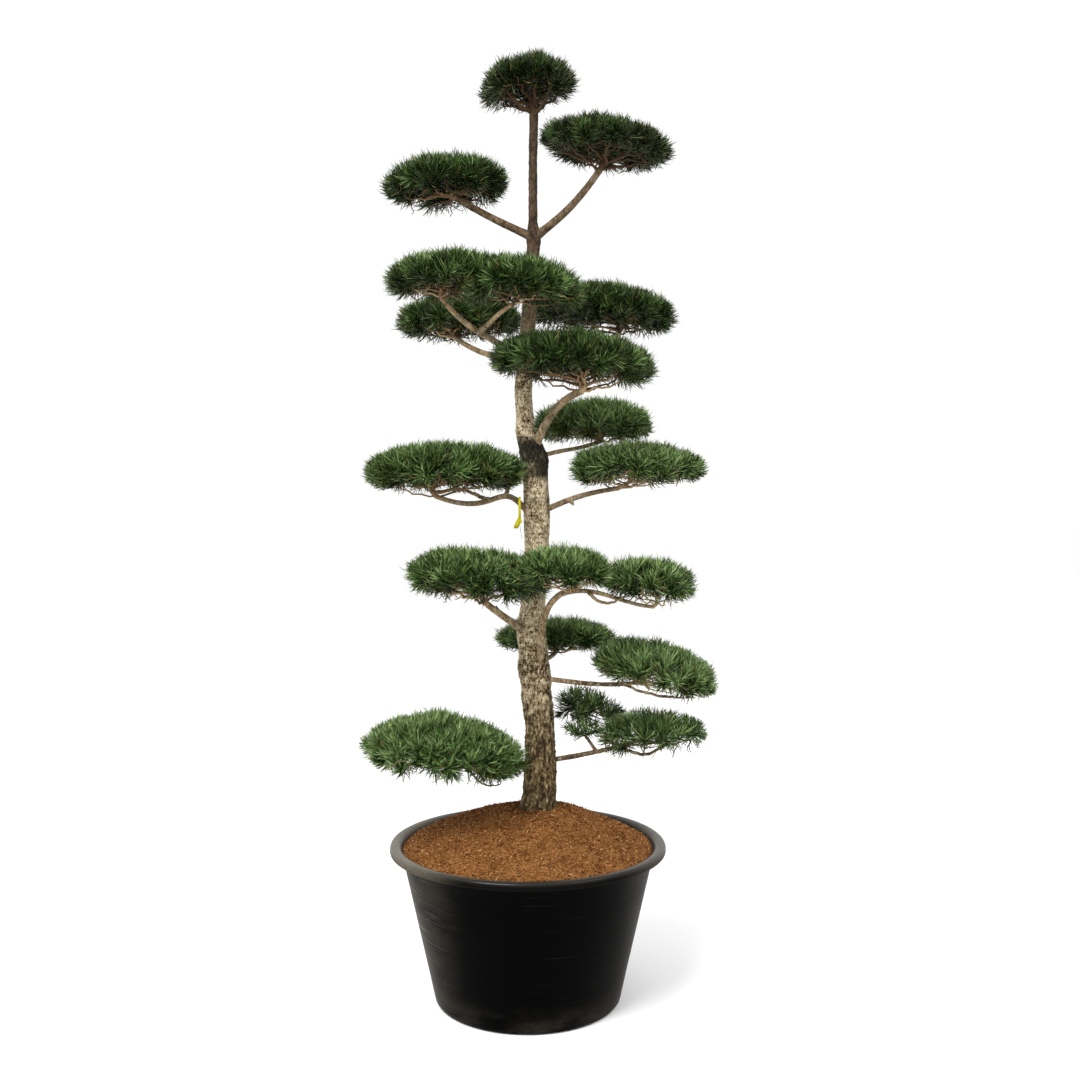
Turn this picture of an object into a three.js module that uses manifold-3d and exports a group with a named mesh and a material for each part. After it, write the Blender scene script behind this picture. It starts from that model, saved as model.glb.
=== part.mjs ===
// A potted Austrian pine, clipped into cloud pads on bare boughs, in a round nursery pot.
// Millimetres, +Z up. The origin is the middle of the pot's flat underside. The tree's front faces -Y.

import * as THREE from "three";
import { mergeVertices } from "three/addons/utils/BufferGeometryUtils.js";
import Module from "manifold-3d";

const wasm = await Module();
wasm.setup();

const turn = 2 * Math.PI;
const degree = Math.PI / 180;
const golden = turn * 0.381966;

// The gap between two pieces that touch, and the air kept round twigs and sprays.
const seat = 0.3;
const air = 1.5;

// The pot: nursery plastic, with a lip turned outwards and down.
const potHeight = 565;
const footRadius = 322;
const footRound = 22;
const wallFootRadius = 339;
const wallTopRadius = 460;
const wall = 6;
const lipRadius = 500;
const lipDepth = 26;
const lipRound = 12;
const potSides = 36;

// The soil fills the pot and heaps up to a flat place on which the trunk stands.
const soilBelowLip = 18;
const moundRise = 137;
const moundTopRadius = 78;
const moundRings = 4;

// The trunk's stations: height, how far it leans to the right, and diameter.
const trunkSides = 12;
const groundHeight = potHeight - soilBelowLip + moundRise + seat;
const trunkStations = [
  [groundHeight, 37, 142],
  [groundHeight + 34, 39, 127],
  [850, 47, 120],
  [980, 44, 110],
  [1180, 27, 119],
  [1313, 14, 101],
  [1441, 20, 90],
  [1600, 31, 85],
  [1758, 32, 97],
  [1871, 27, 91],
  [1965, 20, 104],
  [2057, -10, 70],
  [2200, -19, 64],
  [2353, -9, 58],
  [2590, 13, 53],
  [2728, 21, 49],
  [2772, 22, 58],
  [2812, 19, 34],
  [3031, 18, 31],
  [3222, 22, 34],
];

// The boughs. Each leaves the trunk at the height of its foot, or another bough at a share of its
// length, at a bearing (0 is to the right, 90 to the back) and a pitch, and arrives at its tip so.
const boughSides = 6;
const boughSteps = 10;
const collarSwell = 0.35;
const collarShare = 0.22;
const boughs = {
  low_left: { foot: 835, leave: [200, 14], tip: [-255, -100, 856], arrive: [195, 4], thick: [27, 20] },
  low_right: { foot: 850, leave: [0, 10], tip: [345, -20, 914], arrive: [0, 14], thick: [21, 16] },
  low_back: {
    on: "low_right", share: 0.68, leave: [128, 44],
    tip: [182, 108, 996], arrive: [118, 62], thick: [13, 10],
  },
  second_right: { foot: 1158, leave: [-4, -6], tip: [358, -50, 1142], arrive: [-8, 4], thick: [20, 16] },
  second_back: { foot: 1212, leave: [74, 6], tip: [104, 236, 1222], arrive: [74, 14], thick: [22, 17] },
  third_left: { foot: 1302, leave: [224, 36], tip: [-152, -170, 1448], arrive: [226, 34], thick: [33, 22] },
  third_front: { foot: 1090, leave: [-70, 70], tip: [160, -232, 1496], arrive: [-40, 12], thick: [29, 20] },
  third_right: {
    on: "third_front", share: 0.9, leave: [2, 14],
    tip: [446, -156, 1429], arrive: [16, -4], thick: [17, 13],
  },
  fourth_left: {
    foot: 1710, leave: [190, 58],
    tip: [-335, -60, 1820], arrive: [188, 22], thick: [23, 17], sway: 0.7,
  },
  fourth_right: { foot: 1754, leave: [0, 26], tip: [330, 0, 1848], arrive: [0, 8], thick: [23, 17] },
  fifth_back: { foot: 1955, leave: [30, 20], tip: [276, 165, 2030], arrive: [32, 20], thick: [18, 15] },
  fifth_front: { foot: 1975, leave: [-42, 62], tip: [190, -170, 2186], arrive: [-44, 12], thick: [33, 25] },
  sixth_back_left: {
    foot: 2298, leave: [152, 18],
    tip: [-280, 148, 2420], arrive: [154, 34], thick: [25, 18],
  },
  sixth_back_right: {
    foot: 2350, leave: [34, 8],
    tip: [345, 220, 2442], arrive: [34, 26], thick: [25, 18],
  },
  sixth_left: { foot: 2315, leave: [222, 26], tip: [-296, -242, 2500], arrive: [214, 46], thick: [27, 18] },
  sixth_front: {
    on: "sixth_left", share: 0.55, leave: [-52, 18],
    tip: [-48, -286, 2470], arrive: [-38, 18], thick: [20, 15],
  },
  top_left: { foot: 2762, leave: [180, 24], tip: [-262, 4, 2906], arrive: [178, 30], thick: [31, 23] },
  top_right: { foot: 2762, leave: [-24, 30], tip: [258, -98, 2982], arrive: [-26, 50], thick: [31, 23] },
};

// The pads, one clipped cloud of needles on each bough's tip and one on the trunk's. Each has the
// middle of its outline, half its length and depth, its rise and drop, and its slope to the right.
// The lowest is more of a hill than a dome.
const pads = {
  low_left: { at: [-298, -110, 914], half: [306, 225], rise: 148, drop: 124, slope: -0.1, crest: 1.45 },
  low_right: { at: [446, -20, 961], half: [220, 178], rise: 92, drop: 98, slope: 0.04 },
  low_back: { at: [232, 150, 1014], half: [152, 118], rise: 92, drop: 98, slope: -0.25 },
  second_right: { at: [463, -60, 1193], half: [238, 195], rise: 116, drop: 100, slope: -0.2 },
  second_back: { at: [101, 300, 1272], half: [236, 178], rise: 82, drop: 70, slope: 0 },
  third_left: { at: [-176, -200, 1534], half: [254, 200], rise: 108, drop: 112, slope: -0.04 },
  third_front: { at: [114, -300, 1564], half: [188, 165], rise: 88, drop: 80, slope: 0 },
  third_right: { at: [424, -150, 1519], half: [176, 165], rise: 94, drop: 98, slope: -0.05 },
  fourth_left: { at: [-302, -60, 1907], half: [302, 220], rise: 112, drop: 98, slope: 0 },
  fourth_right: { at: [396, 0, 1926], half: [258, 205], rise: 96, drop: 94, slope: 0 },
  fifth_back: { at: [248, 205, 2097], half: [238, 192], rise: 104, drop: 102, slope: 0 },
  fifth_front: { at: [161, -220, 2290], half: [302, 210], rise: 104, drop: 115, slope: -0.07 },
  sixth_back_left: { at: [-271, 205, 2493], half: [250, 195], rise: 98, drop: 100, slope: 0.02 },
  sixth_back_right: { at: [281, 260, 2540], half: [294, 200], rise: 112, drop: 128, slope: -0.08 },
  sixth_left: { at: [-270, -275, 2560], half: [218, 190], rise: 98, drop: 104, slope: 0.02 },
  sixth_front: { at: [-14, -325, 2530], half: [214, 175], rise: 102, drop: 106, slope: -0.08 },
  top_left: { at: [-310, 45, 2971], half: [236, 195], rise: 108, drop: 114, slope: 0.04 },
  top_right: { at: [280, -100, 3071], half: [242, 205], rise: 90, drop: 88, slope: -0.12 },
  leader: { at: [1, 0, 3322], half: [178, 168], rise: 110, drop: 102, slope: 0.1 },
};

// How a pad is filled: its sprays stand out of a dense core, and twigs carry the core from below.
const sprayReach = 34;
const sprayRoot = 14;
const sprayWaist = 11;
const spraySpread = 30;
const padPerSpray = 9900;
const lowestSpray = -0.5;
const coreSides = 10;
const coreRings = 5;
const coreLumps = 9;
const hollowing = 0.4;
const crestRoundness = 2.1;
const roundness = 2.4;
const twigsPerPad = 4;
const twigSides = 3;

// A yellow ribbon tied round the foot of one bough, with its tail and a thin strand hanging down.
const ribbonThick = 1.2;
const ribbonWidth = 9;
const ribbonLoop = 17;
const ribbonDrop = 54;
const tailWidth = 15;
const tailLength = 38;
const tailSlant = 14;
const strandWidth = 1.6;
const strandLength = 76;
const strandSlant = 9;
const ribbonShare = 0.24;

const potPlastic = paint("#1b1b1a", 0.5);
const soilBrown = paint("#7a4a2a", 0.95);
const barkGrey = paint("#7b6a55", 0.9);
const needleGreen = paint("#2f5233", 0.7);
const ribbonYellow = paint("#d8cf10", 0.5);

function paint(color, roughness) {
  return new THREE.MeshStandardMaterial({ color, roughness, metalness: 0 });
}

// Seeded numbers from 0 to 1, the same on every run.
function seeded(seed) {
  let state = seed;
  return () => {
    state = (state + 0x6d2b79f5) >>> 0;
    let mixed = Math.imul(state ^ (state >>> 15), state | 1);
    mixed ^= mixed + Math.imul(mixed ^ (mixed >>> 7), mixed | 61);
    return ((mixed ^ (mixed >>> 14)) >>> 0) / 4294967296;
  };
}

function shared(geometry) {
  geometry.deleteAttribute("normal");
  geometry.deleteAttribute("uv");
  return mergeVertices(geometry, 1e-3);
}

// A closed geometry as a solid that can be joined and cut.
function solidOf(geometry) {
  const whole = shared(geometry);
  return new wasm.Manifold(
    new wasm.Mesh({
      numProp: 3,
      vertProperties: new Float32Array(whole.attributes.position.array),
      triVerts: new Uint32Array(whole.index.array),
    }),
  );
}

// The largest body of a solid. Loose scraps of a cut are dropped.
function largestBody(solid) {
  return solid.decompose().reduce((a, b) => (a.volume() > b.volume() ? a : b));
}

const plant = new THREE.Group();
const limbGroup = new THREE.Group();
const foliageGroup = new THREE.Group();
plant.add(limbGroup, foliageGroup);

function addNode(group, name, solid, material) {
  const { vertProperties, triVerts } = solid.getMesh();
  const geometry = new THREE.BufferGeometry();
  geometry.setAttribute("position", new THREE.BufferAttribute(vertProperties, 3));
  geometry.setIndex(new THREE.BufferAttribute(triVerts, 1));
  geometry.computeVertexNormals();
  const mesh = new THREE.Mesh(geometry, material);
  mesh.name = name;
  group.add(mesh);
}

// A profile of radius and height, turned round the upright axis.
function turned(profile) {
  const outline = profile.map(([radius, height]) => new THREE.Vector2(radius, height));
  const shell = new THREE.LatheGeometry(outline, potSides);
  shell.rotateX(Math.PI / 2);
  return solidOf(shell);
}

function potSolid() {
  const underLip = potHeight - wall;
  return turned([
    [0, 0],
    [footRadius, 0],
    [wallFootRadius, footRound],
    [wallTopRadius, underLip - lipRound],
    [wallTopRadius + wall, underLip],
    [lipRadius - lipRound, underLip],
    [lipRadius - wall, potHeight - lipDepth],
    [lipRadius, potHeight - lipDepth],
    [lipRadius, potHeight - lipRound],
    [lipRadius - lipRound, potHeight],
    [wallTopRadius + lipRound, potHeight],
    [wallTopRadius - wall, underLip - lipRound],
    [wallFootRadius - wall, footRound + wall],
    [footRadius - wall, wall],
    [0, wall],
  ]);
}

// The mound is a low cone with rounded sides.
function soilSolid() {
  const inside = wall + seat;
  const rim = potHeight - soilBelowLip;
  const flare = (wallTopRadius - wallFootRadius) / (potHeight - wall - lipRound - footRound);
  const edge = wallFootRadius - inside - seat + flare * (rim - footRound - wall);
  const mound = [];
  for (let ring = 0; ring < moundRings; ring++) {
    const share = ring / (moundRings - 1);
    const radius = edge + (moundTopRadius - edge) * share;
    mound.push([radius, rim + moundRise * share * (1.5 - 0.5 * share)]);
  }
  return turned([
    [0, inside],
    [footRadius - inside - seat, inside],
    [wallFootRadius - inside - seat, footRound + wall],
    ...mound,
    [0, rim + moundRise],
  ]);
}

// The trunk's rings follow its stations. Its sides are shallow flutes that turn as they rise.
function trunkSolid(extra) {
  const steps = trunkStations.length - 1;
  const rod = new THREE.CylinderGeometry(1, 1, 1, trunkSides, steps);
  const place = rod.attributes.position;
  for (let i = 0; i < place.count; i++) {
    const [height, lean, diameter] = trunkStations[Math.round((place.getY(i) + 0.5) * steps)];
    const across = place.getX(i);
    const back = -place.getZ(i);
    const bearing = Math.atan2(back, across);
    const flutes = 1 + 0.045 * Math.sin(3 * bearing + height / 260) + 0.03 * Math.sin(5 * bearing);
    const radius = (diameter / 2) * flutes + extra;
    place.setXYZ(i, lean + radius * across, radius * back, height);
  }
  return solidOf(rod);
}

function leanAt(height) {
  const above = trunkStations.findIndex((station) => station[0] >= height);
  const [low, high] = [trunkStations[above - 1], trunkStations[above]];
  return low[1] + ((height - low[0]) / (high[0] - low[0])) * (high[1] - low[1]);
}

function directionOf([bearing, pitch]) {
  const flat = Math.cos(pitch * degree);
  return new THREE.Vector3(
    flat * Math.cos(bearing * degree),
    flat * Math.sin(bearing * degree),
    Math.sin(pitch * degree),
  );
}

// A tapering limb with flat ends: a rod whose rings stand square across a curve. It can run over
// the curve's end by a little.
function limb(curve, radiusAt, sides, steps, over = 0) {
  const rod = new THREE.CylinderGeometry(1, 1, 1, sides, steps);
  const frames = curve.computeFrenetFrames(steps, false);
  const place = rod.attributes.position;
  const point = new THREE.Vector3();
  for (let i = 0; i < place.count; i++) {
    const across = place.getX(i);
    const side = -place.getZ(i);
    const ring = Math.round((place.getY(i) + 0.5) * steps);
    const radius = radiusAt(ring / steps);
    point
      .copy(curve.getPointAt(ring / steps))
      .addScaledVector(frames.normals[ring], across * radius)
      .addScaledVector(frames.binormals[ring], side * radius)
      .addScaledVector(frames.tangents[ring], ring === steps ? over : 0);
    place.setXYZ(i, point.x, point.y, point.z);
  }
  return solidOf(rod);
}

// A bough is one smooth bend from the middle of the limb that bears it to its tip.
function boughCurve(bough) {
  const parent = grown.get(bough.on);
  const start = parent
    ? parent.curve.getPointAt(bough.share)
    : new THREE.Vector3(leanAt(bough.foot), 0, bough.foot);
  const end = new THREE.Vector3(...bough.tip);
  const pull = start.distanceTo(end) * (bough.sway ?? 0.4);
  const first = start.clone().addScaledVector(directionOf(bough.leave), pull);
  const second = end.clone().addScaledVector(directionOf(bough.arrive), -pull);
  return new THREE.CubicBezierCurve3(start, first, second, end);
}

// It swells in a collar at its foot and tapers to its tip.
function boughSolid(bough, curve, extra) {
  const [foot, tip] = bough.thick;
  const radiusAt = (share) => {
    const collar = 1 + collarSwell * Math.max(0, 1 - share / collarShare) ** 2;
    return ((foot + (tip - foot) * share) / 2) * collar + extra;
  };
  return limb(curve, radiusAt, boughSides, boughSteps, extra);
}

// The point of a pad's outline in a direction from its middle, brought in by an inset. A pad is
// domed above, and hollow below where its twigs fan out.
function padPoint(pad, direction, inset) {
  const flat = Math.hypot(direction.x, direction.y);
  const power = direction.z > 0 ? (pad.crest ?? crestRoundness) : roundness;
  const full = (flat ** power + Math.abs(direction.z) ** power) ** (1 / power);
  const bearing = Math.atan2(direction.y, direction.x);
  const wave = 1 + 0.05 * Math.sin(3 * bearing + pad.phase) + 0.035 * Math.sin(5 * bearing - pad.phase);
  const belly = hollowing + (1 - hollowing) * Math.min(1, flat / 0.55);
  const upright = direction.z > 0 ? pad.rise - inset * 0.8 : (pad.drop - inset * 0.8) * belly;
  const x = ((pad.half[0] - inset) * wave * direction.x) / full;
  const y = ((pad.half[1] - inset) * wave * direction.y) / full;
  const z = (upright * direction.z) / full + pad.slope * x;
  return new THREE.Vector3(pad.at[0] + x, pad.at[1] + y, pad.at[2] + z);
}

// The dense, lumpy middle of a pad, grown on all sides by a little where it is the space to keep.
function coreSolid(pad, grow = 0) {
  const random = seeded(pad.seed);
  const ball = shared(new THREE.SphereGeometry(1, coreSides, coreRings).rotateX(Math.PI / 2));
  const place = ball.attributes.position;
  const direction = new THREE.Vector3();
  for (let i = 0; i < place.count; i++) {
    direction.fromBufferAttribute(place, i).normalize();
    const point = padPoint(pad, direction, sprayReach + coreLumps * (2 * random() - 1) - grow);
    place.setXYZ(i, point.x, point.y, point.z);
  }
  return solidOf(ball);
}

// The stem goes on from the limb's tip into the core. Twigs fan out from it to the core's rim.
function frameworkOf(pad) {
  const { start, heading, radius } = pad.foot;
  const heart = new THREE.Vector3(...pad.at);
  const bend = start.clone().addScaledVector(heading, start.distanceTo(heart) * 0.5);
  const stemLine = new THREE.QuadraticBezierCurve3(start, bend, heart);
  const stem = limb(stemLine, (share) => radius * (1 - 0.45 * share), twigSides + 2, 3);
  const twigs = [];
  for (let i = 0; i < twigsPerPad; i++) {
    const from = stemLine.getPointAt(0.25 + (0.3 * i) / twigsPerPad);
    const bearing = pad.phase + i * golden;
    const outward = new THREE.Vector3(Math.cos(bearing), Math.sin(bearing), -0.5).normalize();
    const line = new THREE.LineCurve3(from, padPoint(pad, outward, sprayReach + sprayRoot));
    twigs.push(limb(line, (share) => radius * (0.62 - 0.3 * share), twigSides, 1));
  }
  return { stem, twigs };
}

// A spray of needles: a slim cone out of which three long needles stand.
function spraySolid(root, tip, roll) {
  const axis = tip.clone().sub(root);
  const length = axis.length();
  axis.normalize();
  const across = new THREE.Vector3(Math.cos(roll), Math.sin(roll), 0.3).cross(axis).normalize();
  const side = axis.clone().cross(across);
  const at = (along, out, angle) =>
    root
      .clone()
      .addScaledVector(axis, along * length)
      .addScaledVector(across, out * Math.cos(angle))
      .addScaledVector(side, out * Math.sin(angle));
  const third = turn / 3;
  const corners = [root, at(0.6, 0, 0)];
  for (let i = 0; i < 3; i++) corners.push(at(0.5, sprayWaist, i * third));
  for (let i = 0; i < 3; i++) corners.push(at(i ? 0.85 : 1, spraySpread, (i + 0.5) * third));
  const faces = [];
  for (let i = 0; i < 3; i++) {
    const [here, next, needle] = [2 + i, 2 + ((i + 1) % 3), 5 + i];
    faces.push(0, next, here, here, next, needle, next, 1, needle, 1, here, needle);
  }
  const spray = new THREE.BufferGeometry();
  const flat = corners.flatMap((corner) => corner.toArray());
  spray.setAttribute("position", new THREE.Float32BufferAttribute(flat, 3));
  spray.setIndex(faces);
  return solidOf(spray);
}

// Sprays stand all over a pad's top and rim, spaced by the golden angle, and lean upwards.
function spraysOf(pad) {
  const random = seeded(pad.seed + 50);
  const count = Math.round((pad.half[0] * pad.half[1] * 4.4) / padPerSpray);
  const sprays = [];
  for (let i = 0; i < count; i++) {
    const up = 1 - ((i + 0.5) / count) * (1 - lowestSpray);
    const flat = Math.sqrt(1 - up * up);
    const bearing = pad.phase + i * golden + 0.3 * (random() - 0.5);
    const outward = new THREE.Vector3(flat * Math.cos(bearing), flat * Math.sin(bearing), up);
    const root = padPoint(pad, outward, sprayReach + sprayRoot);
    outward.z += 0.08 + 0.1 * random();
    const tip = padPoint(pad, outward.normalize(), 0);
    sprays.push(spraySolid(root, tip, random() * turn));
  }
  return sprays;
}

function isClear(piece, others) {
  return others.every((other) => other.minGap(piece, 2 * air) >= air);
}

// The ribbon: a long loop hung over a bough and knotted below it. A tail and a strand slant from
// the knot.
function ribbonSolid(bough) {
  const middle = bough.curve.getPointAt(ribbonShare);
  const around = (radius, drop) => {
    const outline = new THREE.Path();
    outline.absarc(0, ribbonLoop / 3, radius, 0, Math.PI);
    outline.lineTo(0, -drop);
    outline.closePath();
    return outline;
  };
  const band = new THREE.Shape(around(ribbonLoop + ribbonThick, ribbonDrop + 4 * ribbonThick).getPoints(5));
  band.holes.push(around(ribbonLoop, ribbonDrop));
  const loop = new THREE.ExtrudeGeometry(band, { depth: ribbonWidth, bevelEnabled: false, curveSegments: 5 });
  loop.rotateX(Math.PI / 2).rotateZ(Math.PI / 2).translate(-ribbonWidth / 2, 0, 0);
  const hanging = (width, length, slant) => {
    const half = width / 2;
    const outline = new THREE.Shape();
    outline.moveTo(-half / 2, 0);
    outline.lineTo(slant - half, -length);
    outline.lineTo(slant + half, -length);
    outline.lineTo(half / 2, 0);
    const strip = new THREE.ExtrudeGeometry(outline, { depth: ribbonThick, bevelEnabled: false });
    return solidOf(strip.rotateX(Math.PI / 2).translate(0, ribbonThick / 2, -ribbonDrop));
  };
  const tail = hanging(tailWidth, tailLength, -tailSlant);
  const strand = hanging(strandWidth, strandLength, strandSlant);
  return wasm.Manifold.union([solidOf(loop), tail, strand]).translate(middle.toArray());
}

addNode(plant, "pot", potSolid(), potPlastic);
addNode(plant, "soil", soilSolid(), soilBrown);

const trunk = trunkSolid(0);
addNode(limbGroup, "trunk", trunk, barkGrey);

const grown = new Map();
for (const [name, bough] of Object.entries(boughs)) {
  const curve = boughCurve(bough);
  const bearer = grown.get(bough.on)?.hollow ?? trunkSolid(seat);
  const solid = largestBody(boughSolid(bough, curve, 0).subtract(bearer));
  const hollow = boughSolid(bough, curve, seat * 1.2);
  const space = boughSolid(bough, curve, air);
  grown.set(name, { curve, solid, hollow, space, tipRadius: bough.thick[1] / 2 });
  addNode(limbGroup, `bough_${name}`, solid, barkGrey);
}
const limbs = [{ solid: trunk, space: trunkSolid(air) }, ...grown.values()];
const limbSolids = limbs.map((one) => one.solid);

// Each pad starts where its limb ends.
Object.entries(pads).forEach(([name, pad], index) => {
  const [top, lean, diameter] = trunkStations.at(-1);
  const bough = grown.get(name);
  const heading = bough ? bough.curve.getTangentAt(1) : new THREE.Vector3(0, 0, 1);
  const end = bough ? bough.curve.getPointAt(1) : new THREE.Vector3(lean, 0, top);
  const radius = bough ? bough.tipRadius : diameter / 2;
  pad.seed = index + 1;
  pad.phase = index * 1.7;
  pad.foot = { start: end.addScaledVector(heading, seat), heading, radius };
});

// All the cores and twigs come first, so that a spray keeps clear of the pads beside its own. A core
// is cut clear of the limbs that pass through it and of an earlier pad's core, and a twig that would
// touch either is left out.
const allPads = Object.values(pads);
for (const pad of allPads) {
  const { stem, twigs } = frameworkOf(pad);
  const earlier = allPads.filter((one) => one.solid);
  const standing = [...limbSolids, ...earlier.map((one) => one.solid)];
  const clearTwigs = twigs.filter((twig) => isClear(twig, standing));
  const whole = coreSolid(pad);
  pad.space = coreSolid(pad, 2 * air);
  const near = [...limbs, ...earlier].filter((one) => !isClear(whole, [one.solid]));
  const core = largestBody(whole.subtract(wasm.Manifold.union(near.map((one) => one.space))));
  pad.solid = wasm.Manifold.union([core, stem, ...clearTwigs]);
}
for (const [name, pad] of Object.entries(pads)) {
  const others = [...limbs, ...allPads].filter((one) => one !== pad).map((one) => one.solid);
  const sprays = spraysOf(pad).filter((spray) => isClear(spray, others));
  pad.solid = largestBody(wasm.Manifold.union([pad.solid, ...sprays]));
  addNode(foliageGroup, `pad_${name}`, pad.solid, needleGreen);
}

addNode(plant, "ribbon", ribbonSolid(grown.get("fourth_left")), ribbonYellow);

export default plant;
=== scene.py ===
import math

import bpy
import numpy as np
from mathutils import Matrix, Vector, noise


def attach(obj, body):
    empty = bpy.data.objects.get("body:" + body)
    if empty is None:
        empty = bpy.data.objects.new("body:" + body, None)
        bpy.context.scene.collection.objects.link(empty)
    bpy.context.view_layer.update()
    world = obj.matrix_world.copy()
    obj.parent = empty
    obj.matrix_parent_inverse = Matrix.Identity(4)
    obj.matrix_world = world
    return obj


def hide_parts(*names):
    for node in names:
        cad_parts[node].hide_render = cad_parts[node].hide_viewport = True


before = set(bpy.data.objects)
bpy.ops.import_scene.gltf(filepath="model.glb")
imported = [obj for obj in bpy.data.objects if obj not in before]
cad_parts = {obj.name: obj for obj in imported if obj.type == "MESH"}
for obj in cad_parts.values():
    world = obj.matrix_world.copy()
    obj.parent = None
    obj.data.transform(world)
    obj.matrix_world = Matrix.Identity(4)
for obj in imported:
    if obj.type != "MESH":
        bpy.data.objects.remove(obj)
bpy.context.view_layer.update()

# The photographer stands four metres off and holds the camera level at the height of a tall
# person's head. The picture is moved down a little to take in the pot.
camera_data = bpy.data.cameras.new("camera")
camera_data.sensor_width = 36
camera_data.lens = 39.3
camera_data.shift_y = -0.0306
camera_data.clip_end = 300
camera = bpy.data.objects.new("camera", camera_data)
camera.location = (0.0438, -4.3, 1.78)
camera.rotation_euler = (math.radians(90), 0, 0)
bpy.context.collection.objects.link(camera)
bpy.context.scene.camera = camera

# The studio: a pale floor that runs far out under a pale sky, a broad lamp high on the left, as a
# bright overcast day would be, and a smaller one on the right.
world = bpy.data.worlds.new("pale_sky")
world.use_nodes = True
world.node_tree.nodes["Background"].inputs["Color"].default_value = (1, 1, 1, 1)
world.node_tree.nodes["Background"].inputs["Strength"].default_value = 1.04
bpy.context.scene.world = world
bpy.context.scene.view_settings.view_transform = "Standard"

for name, place, width, power in [
    ("lamp_left", (-2.6, -4.2, 6.6), 3.2, 560),
    ("lamp_right", (3.6, -2.4, 4.6), 2.5, 60),
]:
    to_tree = Vector((0, 0, 1.6)) - Vector(place)
    lamp_data = bpy.data.lights.new(name, "AREA")
    lamp_data.size = width
    lamp_data.energy = power
    lamp = bpy.data.objects.new(name, lamp_data)
    lamp.location = place
    lamp.rotation_euler = to_tree.to_track_quat("-Z", "Y").to_euler()
    bpy.context.collection.objects.link(lamp)

bpy.ops.object.select_all(action="DESELECT")
bpy.ops.mesh.primitive_plane_add(size=200, location=(0, 0, 0))
floor = bpy.context.object
floor.name = "studio_floor"
floor_white = bpy.data.materials.new("floor_white")
floor_white.use_nodes = True
floor_surface = floor_white.node_tree.nodes["Principled BSDF"]
floor_surface.inputs["Base Color"].default_value = (0.97, 0.97, 0.97, 1)
floor_surface.inputs["Roughness"].default_value = 0.9
floor.data.materials.append(floor_white)


# The pot: one round shell of black nursery plastic, blown in a mould, with a flat foot and a lip
# rolled outwards and down. It is drawn up ring by ring from its foot, down inside, and its edges
# are rounded. Dust lies on the lip and clings to the wall. The pale colour towards the left and
# right sides is partly that dust and partly a painted grazing reflection.
def paint(red, green, blue):
    """A colour read off as it looks, from 0 to 255, as the light it stands for."""
    return tuple((part / 255) ** 2.2 for part in (red, green, blue)) + (1,)


class Wire:
    """An output in a material's nodes. Plain sums on it add Math nodes."""

    def __init__(self, tree, socket=None):
        self.tree = tree
        self.socket = socket

    def node(self, kind, settings, values, output=0):
        made = self.tree.nodes.new(kind)
        for name, value in settings.items():
            if name == "stops":
                ramp = made.color_ramp.elements
                while len(ramp) < len(value):
                    ramp.new(1)
                for stop, (place, colour) in zip(ramp, value):
                    stop.position = place
                    stop.color = colour
            else:
                setattr(made, name, value)
        for name, value in values.items():
            if isinstance(value, Wire):
                self.tree.links.new(value.socket, made.inputs[name])
            else:
                made.inputs[name].default_value = value
        return Wire(self.tree, made.outputs[output])

    def math(self, operation, first, second):
        return self.node("ShaderNodeMath", {"operation": operation}, {0: first, 1: second})

    def __add__(self, other):
        return self.math("ADD", self, other)

    __radd__ = __add__

    def __sub__(self, other):
        return self.math("SUBTRACT", self, other)

    def __rsub__(self, other):
        return self.math("SUBTRACT", other, self)

    def __mul__(self, other):
        return self.math("MULTIPLY", self, other)

    __rmul__ = __mul__

    def band(self, low, high):
        """How far this has gone from low to high, from 0 to 1."""
        settings = {"interpolation_type": "SMOOTHSTEP"}
        return self.node("ShaderNodeMapRange", settings, {0: self, 1: low, 2: high})

    def blend(self, start, end):
        """A colour between two, by this share."""
        settings = {"data_type": "RGBA", "clamp_factor": True}
        return self.node("ShaderNodeMix", settings, {0: self, 6: start, 7: end}, 2)

    def ramp(self, *stops):
        return self.node("ShaderNodeValToRGB", {"stops": stops}, {0: self})

    def stretched(self, x, y, z):
        return self.node("ShaderNodeMapping", {}, {"Vector": self, "Scale": (x, y, z)})

    def noise(self, scale, detail, roughness=0.55):
        values = {"Vector": self, "Scale": scale, "Detail": detail, "Roughness": roughness}
        return self.node("ShaderNodeTexNoise", {}, values)

    def part(self, axis):
        return self.node("ShaderNodeSeparateXYZ", {}, {0: self}, axis)

    def relief(self, distance, strength):
        values = {"Height": self, "Distance": distance, "Strength": strength}
        return self.node("ShaderNodeBump", {}, values)

    def feed(self, surface, name):
        self.tree.links.new(self.socket, surface.inputs[name])


def new_finish(name, roughness, gloss=0.5):
    """A material, its surface shader, and the place on the object as a wire."""
    finish = bpy.data.materials.new(name)
    finish.use_nodes = True
    surface = finish.node_tree.nodes["Principled BSDF"]
    surface.inputs["Roughness"].default_value = roughness
    surface.inputs["Specular IOR Level"].default_value = gloss
    place = Wire(finish.node_tree).node("ShaderNodeTexCoord", {}, {}, 3)
    return finish, surface, place


# Radius and height, in metres: up outside, over the lip and down inside.
pot_profile = [
    (0.322, 0.0),
    (0.331, 0.004),
    (0.3365, 0.012),
    (0.3392, 0.024),
    (0.3620, 0.125),
    (0.3968, 0.275),
    (0.4302, 0.420),
    (0.4598, 0.547),
    (0.4634, 0.555),
    (0.4690, 0.559),
    (0.4880, 0.559),
    (0.4925, 0.555),
    (0.4945, 0.540),
    (0.4965, 0.5378),
    (0.4990, 0.5395),
    (0.5000, 0.544),
    (0.4998, 0.554),
    (0.4975, 0.5602),
    (0.4930, 0.5638),
    (0.4870, 0.565),
    (0.4760, 0.565),
    (0.4676, 0.5622),
    (0.4600, 0.556),
    (0.4538, 0.545),
    (0.3330, 0.028),
    (0.3160, 0.006),
]


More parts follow.
